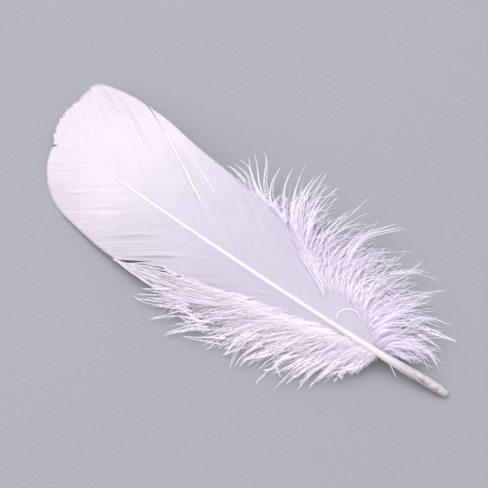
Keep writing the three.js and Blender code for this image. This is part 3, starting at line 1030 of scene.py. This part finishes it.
# piece, side, plumes, seed; then the barbules: how many to a plume, the longest in mm, their
# angle to the stem in degrees and their width; then the habit
LAYERS = [
    ("far_down_low", FAR_SIDE, 250, 31, (95, 2.3, 66, FINE),
     dict(inside=1, over=-0.2, tips=(0.3, 3), loft=1.0, turn=0.8, lock=(4, 10))),
    ("far_down_middle", FAR_SIDE, 280, 37, (100, 1.5, 48, FINE),
     dict(inside=3, over=0.2, tips=(1.5, 6.5), loft=2.5, turn=0.8, lock=(4, 10))),
    ("far_down_high", FAR_SIDE, 280, 41, (100, 1.35, 45, FINE),
     dict(inside=3, over=0.3, tips=(3, 9), loft=3.5, turn=0.9, lock=(3, 9))),
    ("near_down_low", NEAR_SIDE, 260, 47, (95, 2.6, 70, BROAD),
     dict(inside=2, over=-0.2, tips=(0.3, 1.5), loft=1.0, turn=3.5, lock=(3, 8))),
    ("near_down_middle", NEAR_SIDE, 300, 51, (85, 1.2, 44, FINE),
     dict(inside=3, over=0.1, tips=(0.5, 2.2), loft=1.2, turn=3.5, lock=(3, 8))),
    ("near_down_high", NEAR_SIDE, 300, 53, (85, 1.1, 42, FINE),
     dict(inside=4, over=0.2, tips=(0.8, 2.8), loft=1.5, turn=3.5, lock=(3, 8))),
]
BY_SIDE = {  # the part of the habit that all layers of a side share
    "far_down": dict(clear=(24, 54), fade=(56, 68), cling=0.3, free=0.32, sparse=(1.2, 2.8),
                     longest=0.84, bend=(0.45, 1.3), curl=1.0, wild=22),
    "near_down": dict(clear=(30, 34), fade=(62, 78), cling=0.1, free=0.15, sparse=(0.8, 1.5),
                      longest=0.76, bend=(0.1, 0.9), curl=1.6, wild=12),
}
for name, (side, rows, edge, node), plumes, seed, brush, habit in LAYERS:
    paths, roots = plume_paths(side, rows, edge, plumes, dict(habit, **BY_SIDE[node]), seed)
    bunch = make_piece(name, *down_mesh(paths, roots, *brush, seed + 1), FLUFF[node],
                       "down_barbs", smooth=False)
    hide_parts(node)

# %% [markdown]
# The drawn plumes go on last. Three plumes to a line, which root apart and meet at the tip,
# make one strong lock with a clear point.

# %% Add the drawn plumes
TO_A_LINE = 3
SINGLE_BRUSH = (80, 1.2, 40, FINE)
for node, lines, seed in (("far_down", FAR_SINGLES, 61), ("near_down", NEAR_SINGLES, 63)):
    paths, roots = drawn_plumes(lines, TO_A_LINE, seed)
    singles = make_piece(node + "_singles", *down_mesh(paths, roots, *SINGLE_BRUSH, seed + 1),
                         FLUFF[node], "down_barbs", smooth=False)
    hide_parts(node)

# %% [markdown]
# ## The frayed fringe
# Below the long slit of the near vane the lowest barbs of the web are half unhooked. They
# have lost their even spacing and run together to one corner, like the frayed edge of silk.
# Two lines bound this fringe, and strands are laid between them, each with a little chance.
# Nearly half of them stop one place short of the corner.

# %% Strands of the fringe
UPPER_FRINGE = np.array([(72, -10.4), (80, -12.2), (88, -14), (96.8, -17), (102, -19.6),
                         (106.8, -20.9)])
LOWER_FRINGE = np.array([(70, -14), (78, -18.2), (86, -20.6), (93, -21.2), (100, -21.3),
                         (107, -20.8)])
STRANDS, STRAND_HALF_WIDTH, STRAND_CHANCE = 28, 0.11, 0.22  # a count, and mm
FULL_SHARE = 0.55      # share of the strands that reach the corner
fringe_rng = np.random.default_rng(71)
fringe = []
for share in np.linspace(0, 1, STRANDS):
    places = UPPER_FRINGE * (1 - share) + LOWER_FRINGE * share
    places = places + fringe_rng.normal(0, STRAND_CHANCE, places.shape)
    last = len(places) if fringe_rng.random() < FULL_SHARE else len(places) - 1
    fringe.append((0.1 + 0.2 * fringe_rng.random(), STRAND_HALF_WIDTH, places[:last]))
print("strands in the fringe:", len(fringe))

# %% [markdown]
# ## Stray barbs
# A few barbs lie apart from the rest: white ones that have slipped over the far web, one
# hooped beside the shaft, three along the edge where the far web ends, one hanging out of
# the near down's far end and one below the bare quill. A few flakes of skin cling to the
# quill. A loose barb lies clear of the web and is lit all round, so its colour is painted
# lighter than the web's, a painted highlight. The frayed ones shade each other, so they are
# painted greyer than the loose ones, though a little lighter than the web: painted shade and
# painted light.

# %% Stray barbs
loose = web_keratin("loose_barb_painted_highlight_keratin", "f6eef7", "ece3ef", "ffffff", 0.25)
frayed = web_keratin("frayed_barb_painted_light_keratin", "e9e0ea", "dcd3df", "ffffff", 0.25)
# painted light: the loose barbs' colours are lighter than the web's, and the frayed strands' greyer
# than the loose ones'
# piece: node, slot, material, then for each barb its lift above the sheet and half its width
# in mm, and its places along and across
STRAYS = {
    "far_loose_barbs": ("far_vane", "vane_barbs", loose, [
        (0.6, 0.26, [(93.4, 8.1), (96.4, 10), (99.3, 11.3), (104.9, 14.5), (110.3, 17.2),
                     (115.3, 19.8), (118, 21.2)]),
        (0.4, 0.16, [(118.8, 12.5), (121.7, 13.5), (127.1, 16.3), (132.8, 19.1)]),
        (0.4, 0.14, [(92.1, 13.1), (97.2, 15.7), (102.3, 17.7), (107.6, 20.4)]),
        (0.28, 0.07, [(91.9, 13.1), (96, 15.1), (100.1, 17)]),
        (0.28, 0.07, [(128.7, 8.1), (133.2, 11.2), (139.9, 15)]),
        (0.28, 0.07, [(136.1, 6), (139.3, 9.1), (144.3, 12.5)]),
        (0.28, 0.07, [(81.1, 13.4), (86.1, 16.2)]), (0.28, 0.07, [(73.1, 12.2), (75.8, 13.6)])]),
    "near_loose_barbs": ("near_vane", "vane_barbs", frayed, fringe),
    "far_stray_down": ("far_down", "down_barbs", far_fluff, [
        (1.6, 0.1, [(38.6, 0.9), (39.4, 1.9), (39.6, 3.7), (38.1, 5.7), (35.7, 6.4), (32.9, 5.3)]),
        (1.5, 0.16, [(62.1, 15.9), (58.2, 13.9), (53, 10.4), (49.2, 8.1), (46.2, 5.5)]),
        (1.4, 0.1, [(64, 15.6), (59.6, 13.6), (54.4, 10.6), (49.6, 7.6), (46, 5)]),
        (1.3, 0.1, [(58.6, 11.4), (54.6, 9.6), (50.2, 7.4), (46.1, 5.2)])]),
    "near_stray_down": ("near_down", "down_barbs", lit_near_fluff, [
        (0.3, 0.08, [(80, -19), (86, -24), (91, -26.3), (95.4, -26.6)]),
        (0.5, 0.09, [(19.6, -1), (17.8, -2), (15.3, -3.6)])]),
    "quill_flakes": ("shaft", "quill_horn", horn, [
        (0.1, 0.07, [(17, -1.2), (15.4, -1.5), (14.2, -1.55)]),
        (0.1, 0.06, [(12.6, -1.35), (11.6, -1.65), (10.9, -1.65)]),
        (0.6, 0.1, [(1.2, 0.9), (0.4, 1.2), (-0.2, 1.3)])]),
}
print("stray barbs and strands:", sum(len(row[3]) for row in STRAYS.values()))

# %% [markdown]
# Each stray is one strip along its line. It starts thin inside the web or the shaft, lifts
# off within the first tenth of its length, and tapers at its end.

# %% Lay the stray barbs
RIDGE = 0.25           # height of a stray barb, as a share of half its width


def stray_mesh(barbs):
    """Corners, triangles and notes of a few single barbs."""
    points, faces, places_along, count = [], [], [], 0
    for lift, half_width, places in barbs:
        line = curve_through(places, steps=8)
        share = np.linspace(0, 1, len(line))
        ends = rise(share, 0, 0.12) * (1 - 0.7 * rise(share, 0.8, 1.0))
        path = on_feather(line[:, 0], line[:, 1], lift * rise(share, 0, 0.1))[None]
        width = half_width * (0.3 + 0.7 * ends)[None] * MM
        sky = np.broadcast_to(np.array([0, 0, 1.0]), path.shape)
        bar, bar_faces = strips(path, width, width * RIDGE, sky)
        points.append(bar)
        faces.append(bar_faces + count)
        places_along.append(per_corner(line[:, 0]))
        count += len(bar)
    along = np.concatenate(places_along)
    # `near` is 0, so that the flakes on the quill have the colour of its far side
    notes = {"barb": along, "reach": 0 * along, "along": along, "near": 0 * along}
    return np.vstack(points), np.vstack(faces), notes


for name, (node, slot, material, barbs) in STRAYS.items():
    strays = make_piece(name, *stray_mesh(barbs), material, slot, smooth=False)
    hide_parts(node)
